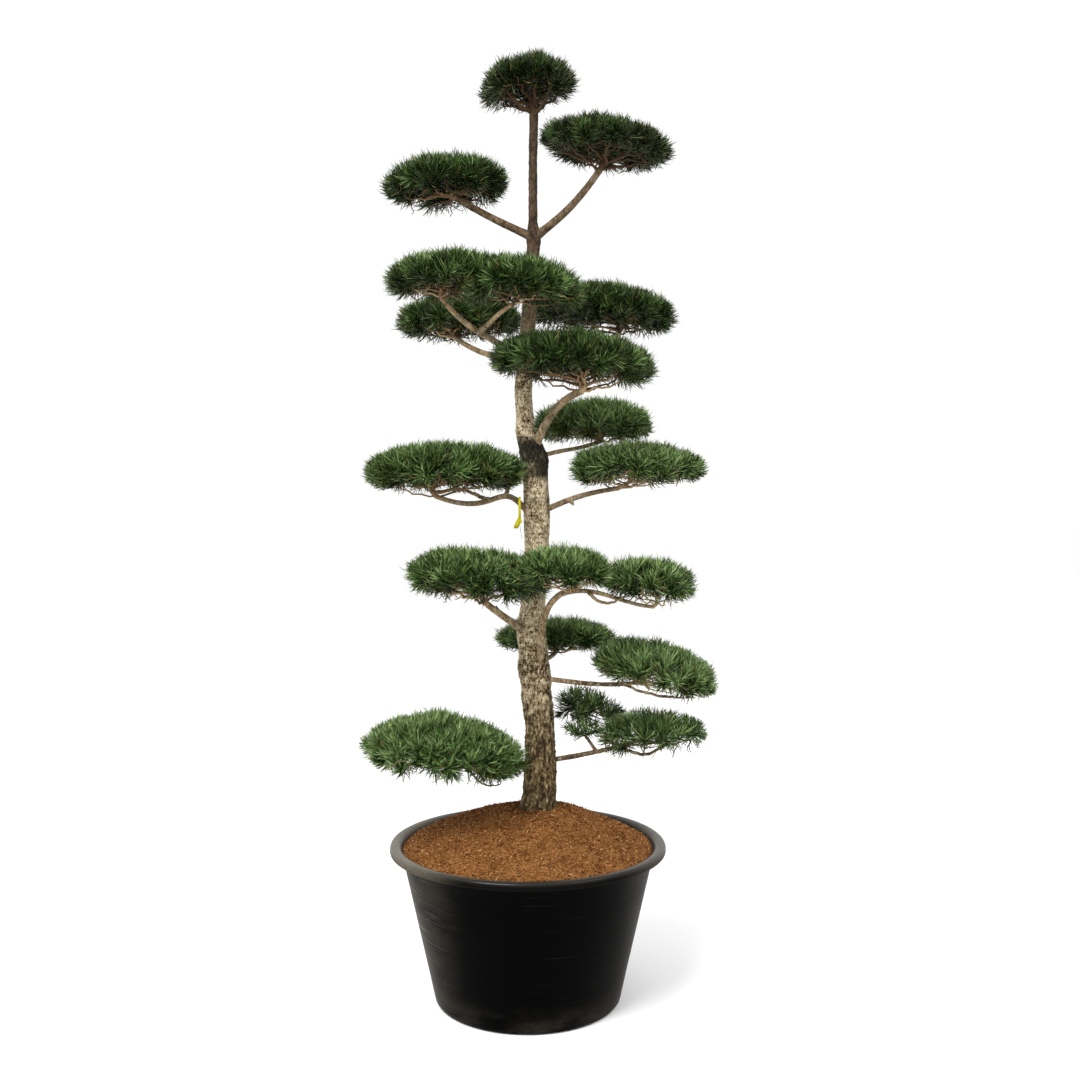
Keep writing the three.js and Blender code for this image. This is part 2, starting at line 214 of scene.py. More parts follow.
def draw_up(name, sides, rings):
    """A round piece drawn up ring by ring, each at its x and height and with its radius."""
    bpy.ops.object.select_all(action="DESELECT")
    x, high, wide = rings[0]
    bpy.ops.mesh.primitive_circle_add(
        vertices=sides, radius=wide, fill_type="NGON", location=(x, 0, high)
    )
    piece = bpy.context.object
    piece.name = name
    bpy.ops.object.transform_apply(location=True, rotation=False, scale=False)
    bpy.ops.object.mode_set(mode="EDIT")
    bpy.ops.mesh.select_all(action="SELECT")
    for next_x, next_high, next_wide in rings[1:]:
        step = {"value": (next_x - x, 0, next_high - high)}
        bpy.ops.mesh.extrude_region_move(TRANSFORM_OT_translate=step)
        grow = next_wide / wide
        bpy.ops.transform.resize(value=(grow, grow, 1), center_override=(next_x, 0, next_high))
        x, high, wide = next_x, next_high, next_wide
    bpy.ops.mesh.select_all(action="SELECT")
    bpy.ops.mesh.normals_make_consistent(inside=False)
    bpy.ops.object.mode_set(mode="OBJECT")
    return piece


pot = draw_up("nursery_pot", 160, [(0, high, wide) for wide, high in pot_profile])
softened = pot.modifiers.new("softened", "BEVEL")
softened.width = 0.0012
softened.segments = 2
softened.limit_method = "ANGLE"
softened.angle_limit = math.radians(24)
bpy.ops.object.modifier_apply(modifier=softened.name)
bpy.ops.object.shade_smooth_by_angle(angle=math.radians(50))

plastic, plastic_surface, spot = new_finish("dusty_black_plastic_painted_sheen", 0.5, 0.02)
plastic_surface.inputs["Sheen Weight"].default_value = 0.06
plastic_surface.inputs["Sheen Roughness"].default_value = 0.3
plastic_surface.inputs["Sheen Tint"].default_value = paint(206, 186, 158)
plastic_surface.inputs["Coat Roughness"].default_value = 0.22
across = spot.part(0)
height = spot.part(2)
cloudy = spot.stretched(1, 1, 2.2).noise(5.5, 6, 0.66)
speckled = spot.noise(190, 5, 0.75)
streaky = spot.stretched(1, 1, 14).noise(7, 5, 0.7)
lip = height.band(0.536, 0.542)
lip_top = height.band(0.559, 0.5645)
lip_side = lip * (1 - lip_top)
wall = 1 - lip
foot = wall * (1 - height.band(0.0, 0.12))
left_side = (0 - across).band(0.2, 0.44)
right_side = across.band(0.3, 0.5)
# Towards the left and right sides the wall and the lip are painted paler. This is partly real dust
# and partly a painted grazing reflection.
dust_and_painted_sheen = wall * (0.2 * left_side + 0.16 * right_side) * cloudy.band(0.3, 0.62)
dust_and_painted_sheen = dust_and_painted_sheen + lip_side * (0.02 + 0.5 * left_side + 0.24 * right_side)
dust_and_painted_sheen = dust_and_painted_sheen + lip_top * (0.12 + 0.52 * left_side + 0.2 * right_side)
dust_and_painted_sheen = dust_and_painted_sheen + foot * 0.12 * cloudy.band(0.35, 0.7)
dust_and_painted_sheen = dust_and_painted_sheen * (0.45 + 0.55 * speckled.band(0.3, 0.7)) * (0.8 + 0.2 * streaky.band(0.35, 0.65))
scuffs = spot.stretched(1.2, 1.2, 90).noise(2.6, 3, 0.6).band(0.6, 0.7)
worn = spot.noise(3.1, 3).band(0.5, 0.6) * 0.02 + left_side * 0.5
scuffs = scuffs * worn * wall
dirt_and_painted_sheen = dust_and_painted_sheen.blend(paint(3, 3, 3), paint(134, 125, 109))
scuffs.blend(dirt_and_painted_sheen, paint(150, 142, 130)).feed(plastic_surface, "Base Color")
(0.4 + dust_and_painted_sheen * 0.45).feed(plastic_surface, "Roughness")
(lip * height.band(0.55, 0.562) * 0.5).feed(plastic_surface, "Coat Weight")
(speckled * 0.5 + cloudy * 1.6).relief(0.0012, 0.3).feed(plastic_surface, "Normal")
pot.data.materials.append(plastic)
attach(pot, "root")
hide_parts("pot")

# The soil: fine red-brown peat and bark, heaped up to the trunk in a low cone and rough with
# crumbs. The heap is drawn up ring by ring and roughened, and some thousands of crumbs and short
# fibres lie on it, each with eight faces, in four browns.
soil_edge = 0.452
soil_rim = 0.547
soil_rise = 0.137
soil_top = 0.078
soil_bottom = 0.488
bottom_edge = 0.438
soil_ring_count = 58


def heap_height(radius, x=0.0, y=0.0):
    """How high the soil lies at this radius, a little fuller on the right."""
    share = np.clip((soil_edge - radius) / (soil_edge - soil_top), 0, 1)
    fuller = 0.018 * share * np.exp(-(((x - 0.16) / 0.1) ** 2) - ((y - 0.05) / 0.16) ** 2)
    return soil_rim + soil_rise * share * (1.5 - 0.5 * share) + fuller


soil_rings = [(0, soil_bottom, bottom_edge)]
for wide in [soil_edge, *np.linspace(soil_edge - 0.008, 0.012, soil_ring_count)]:
    high = float(heap_height(wide)) if wide > soil_top else soil_rim + soil_rise
    soil_rings.append((0, high, wide))
soil = draw_up("soil_heap", 208, soil_rings)
for vertex in soil.data.vertices:
    place = vertex.co
    if place.z > soil_rim - 0.004:
        radius = math.hypot(place.x, place.y)
        place.z += float(heap_height(radius, place.x, place.y) - heap_height(radius))
        fine = noise.fractal(place * 85, 0.8, 2.1, 3) * 0.0038
        broad = noise.noise(place * 11) * 0.0035
        away = min(1, max(0, (soil_edge - radius) / 0.02))
        place.z += (fine + broad) * (0.25 + 0.75 * away) - 0.0015
bpy.ops.object.shade_smooth()

peat, peat_surface, spot = new_finish("peat", 0.95, 0.2)
grains = spot.noise(170, 5, 0.8)
patches = spot.noise(14, 4)
browns = (grains + patches * 0.25 - 0.08).ramp(
    (0.34, paint(58, 32, 12)),
    (0.48, paint(110, 69, 34)),
    (0.6, paint(144, 98, 54)),
    (0.74, paint(184, 140, 92)),
)
browns.feed(peat_surface, "Base Color")
grains.relief(0.006, 1.0).feed(peat_surface, "Normal")
soil.data.materials.append(peat)
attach(soil, "root")
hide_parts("soil")


def joined_mesh(name, points, faces, finishes, dealt):
    """Many small things as one mesh: their points, arrays of faces, and each face's finish."""
    mesh = bpy.data.meshes.new(name)
    corners = np.concatenate([group.ravel() for group in faces])
    counts = np.concatenate([np.full(len(group), group.shape[1]) for group in faces])
    mesh.vertices.add(len(points))
    mesh.vertices.foreach_set("co", points.astype(np.float32).ravel())
    mesh.loops.add(len(corners))
    mesh.loops.foreach_set("vertex_index", corners.astype(np.int32))
    mesh.polygons.add(len(counts))
    starts = np.concatenate([[0], np.cumsum(counts)[:-1]])
    mesh.polygons.foreach_set("loop_start", starts.astype(np.int32))
    for finish in finishes:
        mesh.materials.append(finish)
    mesh.polygons.foreach_set("material_index", dealt.astype(np.int32))
    mesh.update(calc_edges=True)
    mesh.validate()
    piece = bpy.data.objects.new(name, mesh)
    bpy.context.collection.objects.link(piece)
    return piece


def plain_finishes(colours, roughness, gloss):
    """Materials of one plain colour each."""
    finishes = []
    for name, colour in colours.items():
        finish, surface, _ = new_finish(name, roughness, gloss)
        surface.inputs["Base Color"].default_value = paint(*colour)
        finishes.append(finish)
    return finishes


def unit(arrows):
    """Arrows of any length, each brought to a length of 1."""
    return arrows / np.maximum(np.linalg.norm(arrows, axis=-1, keepdims=True), 1e-9)


crumb_count = 17000
dice = np.random.default_rng(11)
far = np.sqrt(dice.uniform(0, 1, crumb_count)) * (soil_edge - 0.004)
bearing = dice.uniform(0, 2 * math.pi, crumb_count)
middle = np.stack([far * np.cos(bearing), far * np.sin(bearing), far], axis=1)
middle[:, 2] = heap_height(far, middle[:, 0], middle[:, 1])
middle[:, 2] += dice.uniform(-0.0008, 0.0022, crumb_count)
long_way = unit(dice.normal(size=(crumb_count, 3)) * (1, 1, 0.5))
side_way = unit(np.cross(long_way, dice.normal(size=(crumb_count, 3))))
third_way = np.cross(long_way, side_way)
size = dice.uniform(0.0011, 0.0028, (crumb_count, 1))
length = size * dice.choice([1.3, 2.4, 5.5], (crumb_count, 1), p=[0.45, 0.33, 0.22])
points = np.stack(
    [
        middle + long_way * length,
        middle - long_way * length,
        middle + side_way * size,
        middle - side_way * size,
        middle + third_way * size * 0.8,
        middle - third_way * size * 0.8,
    ],
    axis=1,
)
crumb_faces = np.array(
    [[0, 2, 4], [0, 4, 3], [0, 3, 5], [0, 5, 2], [1, 4, 2], [1, 3, 4], [1, 5, 3], [1, 2, 5]]
)
faces = (np.arange(crumb_count)[:, None, None] * 6 + crumb_faces).reshape(-1, 3)
crumb_colours = {
    "crumb_red": (120, 74, 36),
    "crumb_tan": (150, 103, 58),
    "crumb_dark": (78, 45, 18),
    "crumb_straw": (186, 145, 96),
}
crumb_finishes = plain_finishes(crumb_colours, 0.9, 0.2)
dealt = np.repeat(dice.choice(4, crumb_count, p=[0.42, 0.3, 0.2, 0.08]), 8)
crumbs = joined_mesh("soil_crumbs", points.reshape(-1, 3), [faces], crumb_finishes, dealt)
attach(crumbs, "root")

# The trunk: old pine wood under thick bark that has split into upright plates with dark furrows
# between, paler where flakes have come off, darker in a band at the knuckle, darker again from
# 2.4 to 2.6 m in a painted shadow of the pad above, and smooth and darker towards the top. It is
# drawn up ring by ring, and the bark is worked into the surface.

# Height, lean to the right and width, in millimetres.
trunk_stations = np.array(
    [
        [684.3, 37, 142],
        [718.3, 39, 127],
        [850, 47, 120],
        [980, 44, 110],
        [1180, 27, 119],
        [1313, 14, 101],
        [1441, 20, 90],
        [1600, 31, 85],
        [1758, 32, 97],
        [1871, 27, 91],
        [1965, 20, 104],
        [2057, -10, 70],
        [2200, -19, 64],
        [2353, -9, 58],
        [2590, 13, 53],
        [2728, 21, 49],
        [2772, 22, 58],
        [2812, 19, 34],
        [3031, 18, 31],
        [3222, 22, 34],
    ]
) / 1000


def lean_at(high):
    return float(np.interp(high, trunk_stations[:, 0], trunk_stations[:, 1]))


def girth_at(high):
    """Half the trunk's width."""
    return float(np.interp(high, trunk_stations[:, 0], trunk_stations[:, 2])) / 2


# How rough the bark is at each height, and where the trunk is knotted.
bark_heights = [0.68, 1.12, 1.3, 1.6, 1.9, 2.0, 2.2, 2.7, 2.8]
bark_roughness = [1.0, 1.0, 0.8, 0.4, 0.4, 0.75, 0.5, 0.4, 0.3]
knot_heights = (1.2, 1.34, 1.9, 2.04)
knot_length = 0.09
bark_seed = 8
noise.seed_set(bark_seed)


def work_bark(piece, cell, depth):
    """Furrows, plates and lumps worked into a limb, and kept as an attribute for its colour."""
    mesh = piece.data
    plates = []
    moved = []
    for place, outward in [(v.co.copy(), v.normal.copy()) for v in mesh.vertices]:
        rough = float(np.interp(place.z, bark_heights, bark_roughness))

        # Large plates with smaller ones in them, both wavy and drawn out upwards.
        wavy = noise.noise_vector(place * 24) * 0.03 + noise.noise_vector(place * 85) * 0.011
        drawn = place + wavy
        drawn = Vector((drawn.x, drawn.y, drawn.z * 0.5)) / cell
        near = noise.voronoi(drawn)[0]
        large = min(1.0, (near[1] - near[0]) / 0.45)
        near = noise.voronoi(drawn * 2.3 + Vector((7, 3, 5)))[0]
        small = min(1.0, (near[1] - near[0]) / 0.5)
        plate = 0.62 * large + 0.38 * small

        grain = noise.fractal(Vector((place.x, place.y, place.z * 0.4)) * 120, 0.9, 2.1, 3)
        knots = [math.exp(-(((place.z - knot) / knot_length) ** 2)) for knot in knot_heights]
        lumps = noise.noise(place * 15) * (0.6 + 0.9 * sum(knots))
        shift = depth * (plate - 0.75 + grain * 0.5 + lumps)
        moved.extend(place + outward * (shift * rough))
        seen = 0.5 * plate + 0.4 * grain - 0.38
        plates.append(min(1.0, max(0.0, 0.55 + seen * max(0.5, rough))))
    mesh.vertices.foreach_set("co", moved)
    layer = mesh.attributes.new("plate", "FLOAT", "POINT")
    layer.data.foreach_set("value", plates)


buried = 0.02
ring_gap = 0.021
levels = [trunk_stations[0, 0] - buried]
for high in trunk_stations[1:, 0]:
    steps = max(1, round((high - levels[-1]) / ring_gap))
    levels += list(np.linspace(levels[-1], high, steps + 1)[1:])
trunk = draw_up("bark_trunk", 32, [(lean_at(high), high, girth_at(high)) for high in levels])
rounder = trunk.modifiers.new("rounder", "SUBSURF")
rounder.levels = rounder.render_levels = 2
bpy.ops.object.modifier_apply(modifier=rounder.name)
for vertex in trunk.data.vertices:
    x, y, z = vertex.co
    across = x - lean_at(z)
    turn = math.atan2(y, across)
    flute = 1 + 0.045 * math.sin(3 * turn + z / 0.26) + 0.03 * math.sin(5 * turn)
    vertex.co = (lean_at(z) + across * flute, y * flute, z)
trunk.data.update()
work_bark(trunk, cell=0.017, depth=0.0058)
bpy.ops.object.shade_smooth()


def bark_finish(name, dark, middle, light):
    """A bark material, with the wires that its colours and its relief are worked out from."""
    bark, surface, spot = new_finish(name, 0.88, 0.25)
    plate = Wire(bark.node_tree).node("ShaderNodeAttribute", {"attribute_name": "plate"}, {}, 2)
    drawn = spot.stretched(1, 1, 0.6)
    flakes = drawn.noise(190, 5, 0.75)
    mottle = drawn.noise(46, 4, 0.65)
    broad = spot.noise(11, 3)
    depth = plate * 0.74 + flakes + mottle * 0.8 + broad * 0.7 - 1.15
    tan = depth.ramp((0.16, dark), (0.48, middle), (0.8, light))
    return bark, surface, spot, flakes, tan, depth


old_bark, old_surface, spot, flakes, tan, depth = bark_finish(
    "old_bark", paint(44, 32, 15), paint(112, 95, 66), paint(184, 166, 132)
)
height = spot.part(2)
patchy = spot.noise(9, 4, 0.6)
rings = spot.stretched(1, 1, 7).noise(16, 4, 0.7)
uneven = depth * 1.15 - 0.03 + (flakes - 0.5) * 1.2 + (rings - 0.5) * 0.8
pale = uneven.ramp(
    (0.17, paint(50, 35, 16)),
    (0.42, paint(148, 130, 98)),
    (0.76, paint(228, 212, 180)),
)
flaked = height.band(0.85, 1.35) * (1 - height.band(2.25, 2.6))
tan = flaked.blend(tan, pale)
green_brown = depth.ramp((0.25, paint(44, 42, 20)), (0.7, paint(120, 116, 78)))
algae = (1 - height.band(0.72, 1.0)) * patchy.band(0.35, 0.7) * 0.5
tan = algae.blend(tan, green_brown)
black_grey = depth.ramp(
    (0.25, paint(16, 13, 4)),
    (0.55, paint(54, 50, 34)),
    (0.85, paint(120, 116, 98)),
)
# Darker bark in a band at the knuckle from 1.86 to 2.05 m, and a faint thin band at 1.8 m.
knuckle_dark_band = height.band(1.86, 1.9) * (1 - height.band(2.01, 2.05)) * (0.6 + 0.4 * patchy.band(0.3, 0.5))
knuckle_dark_band = knuckle_dark_band + height.band(1.79, 1.8) * (1 - height.band(1.81, 1.82)) * 0.3
tan = knuckle_dark_band.blend(tan, black_grey)
# Painted shadow: the trunk is darker from 2.4 to 2.6 m, where the pad above shades it.
dark_brown = depth.ramp((0.25, paint(36, 26, 15)), (0.75, paint(88, 72, 52)))
shaded = height.band(2.4, 2.43) * (1 - height.band(2.53, 2.6)) * 0.8
tan = shaded.blend(tan, dark_brown)
smooth_brown = depth.ramp((0.25, paint(38, 28, 18)), (0.75, paint(98, 80, 62)))
smooth_top = height.band(2.56, 2.66)
tan = smooth_top.blend(tan, smooth_brown)
tan.feed(old_surface, "Base Color")
flakes.relief(0.006, 1.0).feed(old_surface, "Normal")
trunk.data.materials.append(old_bark)
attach(trunk, "root")
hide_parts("trunk")

# The boughs: young limbs with thin tan-grey bark, each grown from the trunk or from another bough
# in one smooth bend, swollen in a collar at its foot. A cut stub, a knob and some thin side limbs
# have grown on with the boughs that bear them.

# Where a bough leaves the trunk, or its bearer and how far along that, then the bearing and pitch
# that it leaves in, its tip, the bearing and pitch there, the widths at its foot and its tip, and
# how wide it swings, in millimetres and degrees.
bough_list = {
    "low_left": (835, (200, 14), (-255, -100, 856), (195, 4), (27, 20), 0.4),
    "low_right": (850, (0, 10), (345, -20, 914), (0, 14), (21, 16), 0.4),
    "low_back": (("low_right", 0.68), (128, 44), (182, 108, 996), (118, 62), (13, 10), 0.4),
    "second_right": (1158, (-4, -6), (358, -50, 1142), (-8, 4), (20, 16), 0.4),
    "second_back": (1212, (74, 6), (104, 236, 1222), (74, 14), (22, 17), 0.4),
    "third_left": (1302, (224, 36), (-152, -170, 1448), (226, 34), (33, 22), 0.4),
    "third_front": (1090, (-70, 70), (160, -232, 1496), (-40, 12), (29, 20), 0.4),
    "third_right": (("third_front", 0.9), (2, 14), (446, -156, 1429), (16, -4), (17, 13), 0.4),
    "fourth_left": (1710, (190, 58), (-335, -60, 1820), (188, 22), (23, 17), 0.7),
    "fourth_right": (1754, (0, 26), (330, 0, 1848), (0, 8), (23, 17), 0.4),
    "fifth_back": (1955, (30, 20), (276, 165, 2030), (32, 20), (18, 15), 0.4),
    "fifth_front": (1975, (-42, 62), (190, -170, 2186), (-44, 12), (33, 25), 0.4),
    "sixth_back_left": (2298, (152, 18), (-280, 148, 2420), (154, 34), (25, 18), 0.4),
    "sixth_back_right": (2350, (34, 8), (345, 220, 2442), (34, 26), (25, 18), 0.4),
    "sixth_left": (2315, (222, 26), (-296, -242, 2500), (214, 46), (27, 18), 0.4),
    "sixth_front": (("sixth_left", 0.55), (-52, 18), (-48, -286, 2470), (-38, 18), (20, 15), 0.4),
    "top_left": (2762, (180, 24), (-262, 4, 2906), (178, 30), (31, 23), 0.4),
    "top_right": (2762, (-24, 30), (258, -98, 2982), (-26, 50), (31, 23), 0.4),
}


def heading(bearing, pitch):
    """The way that a bearing from X and a pitch point in."""
    bearing, pitch = math.radians(bearing), math.radians(pitch)
    flat = math.cos(pitch)
    return np.array([flat * math.cos(bearing), flat * math.sin(bearing), math.sin(pitch)])


def along_bend(share, start, first, second, end):
    """Points at these shares of the bend from start to end that two more points draw out."""
    rest = 1 - share
    near = rest**3 * start + 3 * rest**2 * share * first
    return near + 3 * rest * share**2 * second + share**3 * end


def smooth_bend(start, first, second, end, count):
    """Evenly spaced points on such a bend."""
    dense = along_bend(np.linspace(0, 1, 241)[:, None], start, first, second, end)
    run = np.concatenate([[0], np.cumsum(np.linalg.norm(np.diff(dense, axis=0), axis=1))])
    even = np.linspace(0, run[-1], count)
    return np.stack([np.interp(even, run, dense[:, axis]) for axis in range(3)], axis=1)


def round_limbs(name, runs):
    """One piece of round limbs, each a run of points and radii."""
    line = bpy.data.curves.new(name, "CURVE")
    line.dimensions = "3D"
    line.bevel_depth = 1
    line.bevel_resolution = 6
    line.use_fill_caps = True
    for places, radii in runs:
        run = line.splines.new("POLY")
        run.points.add(len(places) - 1)
        for point, place, radius in zip(run.points, places, radii):
            point.co = (*place, 1)
            point.radius = radius
    piece = bpy.data.objects.new(name, line)
    bpy.context.collection.objects.link(piece)
    bpy.ops.object.select_all(action="DESELECT")
    piece.select_set(True)
    bpy.context.view_layer.objects.active = piece
    bpy.ops.object.convert(target="MESH")
    bpy.ops.object.mode_set(mode="EDIT")
    bpy.ops.mesh.select_all(action="SELECT")
    bpy.ops.mesh.normals_make_consistent(inside=False)
    bpy.ops.object.mode_set(mode="OBJECT")
    return piece


young_bark, young_surface, spot, flakes, tan, depth = bark_finish(
    "young_bark", paint(70, 55, 35), paint(140, 119, 88), paint(192, 175, 141)
)
grey = spot.noise(12, 3).band(0.4, 0.7) * 0.6
tan = grey.blend(tan, depth.ramp((0.25, paint(64, 56, 44)), (0.75, paint(156, 146, 126))))
# Darker browns, blended in on the boughs above 2.5 m and below about 1.1 m.
darker_bough_browns = depth.ramp(
    (0.2, paint(44, 33, 22)),
    (0.55, paint(96, 79, 60)),
    (0.85, paint(140, 124, 102)),
)
height = spot.part(2)
darkened = height.band(2.5, 2.75) * 0.85 + (1 - height.band(0.98, 1.1)) * 0.75
darkened.blend(tan, darker_bough_browns).feed(young_surface, "Base Color")
flakes.relief(0.0018, 0.8).feed(young_surface, "Normal")

# A side limb's foot, bend and tip and its radii at foot and tip, in millimetres.
side_limbs = {
    "third_left": [((-86, -84, 1392), (-106, -92, 1404), (-116, -96, 1424), 9, 7.5)],
    "fourth_right": [((152, -2, 1806), (160, -6, 1797), (166, -8, 1789), 8, 5)],
    "fourth_left": [
        ((-82, -21, 1816), (-70, -22, 1858), (-48, -25, 1897), 8, 5.5),
        ((-128, -29, 1806), (-176, -34, 1812), (-236, -45, 1850), 8, 5.5),
    ],
    "third_right": [((212, -206, 1484), (262, -210, 1420), (344, -192, 1472), 6.6, 4)],
    "second_right": [((346, -50, 1142), (430, -58, 1096), (580, -68, 1094), 6.8, 3.2)],
    "low_left": [((-214, -92, 850), (-164, -100, 770), (-96, -98, 794), 5.2, 3)],
    "low_right": [((334, -20, 911), (430, -26, 852), (520, -30, 936), 7.4, 4.2)],
}
bough_ring_gap = 0.0055
collar_share = 0.22
side_points = 22
grown = {}
for name, (foot, leave, tip, arrive, thick, sway) in bough_list.items():
    if isinstance(foot, tuple):
        bearer, share = foot
        lines = grown[bearer][0]
        start = lines[round(share * (len(lines) - 1))]
    else:
        start = np.array([lean_at(foot / 1000), 0, foot / 1000])
    end = np.array(tip) / 1000
    pull = np.linalg.norm(end - start) * sway
    first = start + heading(*leave) * pull
    second = end - heading(*arrive) * pull
    count = max(30, round(np.linalg.norm(end - start) / bough_ring_gap))
    places = smooth_bend(start, first, second, end, count)
    share = np.linspace(0, 1, count)
    collar = 1 + 0.35 * np.maximum(0, 1 - share / collar_share) ** 2
    radii = (thick[0] + (thick[1] - thick[0]) * share) / 2000 * collar
    grown[name] = (places, heading(*arrive), thick[1] / 2000)
    runs = [(places, radii)]
    dice = np.random.default_rng(round(1000 * tip[2]))
    for *drawn, foot_radius, tip_radius in side_limbs.get(name, []):
        start, bend, end = np.array(drawn) / 1000
        first = start + (bend - start) * 0.72
        second = end + (bend - end) * 0.72
        side = smooth_bend(start, first, second, end, side_points)
        side[1:-1] += dice.normal(size=(side_points - 2, 3)) * 0.0012
        runs.append((side, np.linspace(foot_radius, tip_radius, side_points) / 1000))
    bough = round_limbs("bark_" + name, runs)
    work_bark(bough, cell=0.012, depth=0.0014)
    bpy.ops.object.shade_smooth()
    bough.data.materials.append(young_bark)
    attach(bough, "root")
    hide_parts("bough_" + name)
grown["leader"] = (None, heading(80, 88), 0.017)

# The pads: clipped clouds of foliage, one on each bough and one on the leader. The bough goes on
# into its pad as a stem, twigs fan out of that and fork, and each ends in a shoot that stands all
# round with long stiff needles. A pad's twigs are one piece and its needles another.

# A pad's middle, half its width and depth, its rise and drop, its slope to the right, how square
# its crest is, and how light its greens are, in millimetres.
pad_list = {
    "low_left": ((-298, -110, 914), (306, 225), 148, 124, -0.1, 1.45, 0.52),
    "low_right": ((446, -20, 961), (220, 178), 92, 98, 0.04, 2.1, 0.44),
    "low_back": ((238, 150, 1016), (156, 118), 92, 94, -0.22, 2.1, 0.46),
    "second_right": ((468, -60, 1191), (238, 195), 116, 100, -0.2, 2.1, 0.65),
    "second_back": ((101, 300, 1272), (236, 178), 82, 70, 0, 2.1, 0.43),
    "third_left": ((-176, -200, 1536), (254, 200), 108, 112, -0.08, 2.1, 0.36),
    "third_front": ((114, -300, 1564), (188, 165), 88, 80, 0, 2.1, 0.41),
    "third_right": ((426, -150, 1519), (178, 165), 92, 98, -0.05, 2.1, 0.42),
    "fourth_left": ((-302, -60, 1907), (302, 220), 112, 98, 0, 2.1, 0.32),
    "fourth_right": ((396, 0, 1926), (258, 205), 96, 94, 0, 2.1, 0.56),
    "fifth_back": ((248, 205, 2097), (238, 192), 104, 102, 0, 2.1, 0.68),
    "fifth_front": ((160, -220, 2290), (293, 210), 106, 115, -0.07, 2.1, 0.21),
    "sixth_back_left": ((-271, 205, 2493), (250, 195), 98, 100, 0.02, 2.1, 0.22),
    "sixth_back_right": ((281, 260, 2540), (294, 200), 112, 128, -0.08, 2.1, 0.15),
    "sixth_left": ((-270, -275, 2560), (218, 190), 98, 104, 0.02, 2.1, 0.22),
    "sixth_front": ((-14, -325, 2530), (214, 175), 102, 106, -0.08, 2.1, 0.24),
    "top_left": ((-307, 45, 2971), (234, 195), 108, 120, 0.04, 2.1, 0.15),
    "top_right": ((280, -100, 3071), (242, 205), 88, 88, -0.12, 2.1, -0.01),
    "leader": ((1, 0, 3322), (184, 168), 105, 102, 0.1, 2.1, -0.06),
}
golden = 2 * math.pi * 0.381966

needle_colours = {
    "needle_blackgreen": (20, 30, 14),
    "needle_deep": (38, 55, 25),
    "needle_dark": (57, 79, 39),
    "needle_green": (83, 110, 57),
    "needle_fresh": (128, 152, 98),
    "needle_olive": (88, 94, 48),
    "needle_old": (124, 96, 62),
}
deep_green, fresh_green, olive, old_brown = 1, 4, 5, 6
needle_finishes = plain_finishes(needle_colours, 0.4, 0.55)
for finish in needle_finishes:
    surface = finish.node_tree.nodes["Principled BSDF"]
    surface.inputs["Specular Tint"].default_value = (0.86, 1, 0.52, 1)
twig_colours = {
    "twig_tan": (160, 136, 102),
    "twig_brown": (122, 96, 68),
    "twig_dark": (72, 55, 38),
}
twig_finishes = plain_finishes(twig_colours, 0.8, 0.25)
belly_square = 2.4


def pad_wave(pad, x, y):
    """How far a pad's rim swings in and out around it."""
    turn = np.arctan2(y, x)
    return 1 + 0.05 * np.sin(3 * turn + pad["phase"]) + 0.035 * np.sin(5 * turn - pad["phase"])


def pad_belly(flat):
    """How much of its drop a pad has, less under its middle."""
    return 0.4 + 0.6 * np.minimum(1, flat / 0.55)


def pad_point(pad, way, inset):
    """Points on a pad's outline in these directions from its middle, brought in by an inset."""
    x, y, z = np.moveaxis(way, -1, 0)
    flat = np.hypot(x, y)
    power = np.where(z > 0, pad["crest"], belly_square)
    full = (flat**power + np.abs(z) ** power) ** (1 / power)
    wave = pad_wave(pad, x, y)
    lower = (pad["drop"] - inset * 0.8) * pad_belly(flat)
    upright = np.where(z > 0, pad["rise"] - inset * 0.8, lower)
    x = (pad["half"][0] - inset) * wave * x / full
    y = (pad["half"][1] - inset) * wave * y / full
    z = upright * z / full + pad["slope"] * x
    return pad["at"] + np.stack([x, y, z], axis=-1)


def outwardness(pad, places):
    """0 in a pad's middle and 1 on its outline."""
    x, y, z = np.moveaxis(places - pad["at"], -1, 0)
    z = z - pad["slope"] * x
    x, y = x / pad["half"][0], y / pad["half"][1]
    flat = np.hypot(x, y) / pad_wave(pad, x, y)
    upright = np.where(z > 0, pad["rise"], pad["drop"] * pad_belly(flat))
    power = np.where(z > 0, pad["crest"], belly_square)
    return (flat**power + (np.abs(z) / upright) ** power) ** (1 / power)


def twig_tubes(paths, radii, sides, first):
    """Tapering twigs: runs of points and radii, all of one length, as points and faces."""
    along = unit(np.gradient(paths, axis=1))
    chord = unit(paths[:, -1] - paths[:, 0])
    helper = np.where(np.abs(chord[:, 2:]) > 0.8, [[1.0, 0, 0]], [[0, 0, 1.0]])
    aside = unit(np.cross(chord, helper))[:, None]
    across = unit(aside - along * np.sum(aside * along, axis=-1, keepdims=True))
    third = np.cross(along, across)
    turn = np.arange(sides) / sides * 2 * math.pi
    ring = np.cos(turn)[:, None] * across[:, :, None] + np.sin(turn)[:, None] * third[:, :, None]
    points = paths[:, :, None] + radii[:, :, None, None] * ring
    index = first + np.arange(points.size // 3).reshape(points.shape[:3])
    near, far = index[:, :-1], index[:, 1:]
    walls = np.stack([near, np.roll(near, -1, 2), np.roll(far, -1, 2), far], axis=-1)
    ends = np.concatenate([index[:, 0, ::-1], index[:, -1]])
    return points.reshape(-1, 3), walls.reshape(-1, 4), ends


def bent_paths(start, start_way, end, end_way, steps):
    """Bends from starts to ends that leave and arrive in the given directions."""
    pull = np.linalg.norm(end - start, axis=1, keepdims=True) * 0.38
    first = (start + start_way * pull)[:, None]
    second = (end - end_way * pull)[:, None]
    share = np.linspace(0, 1, steps)[None, :, None]
    return along_bend(share, start[:, None], first, second, end[:, None])


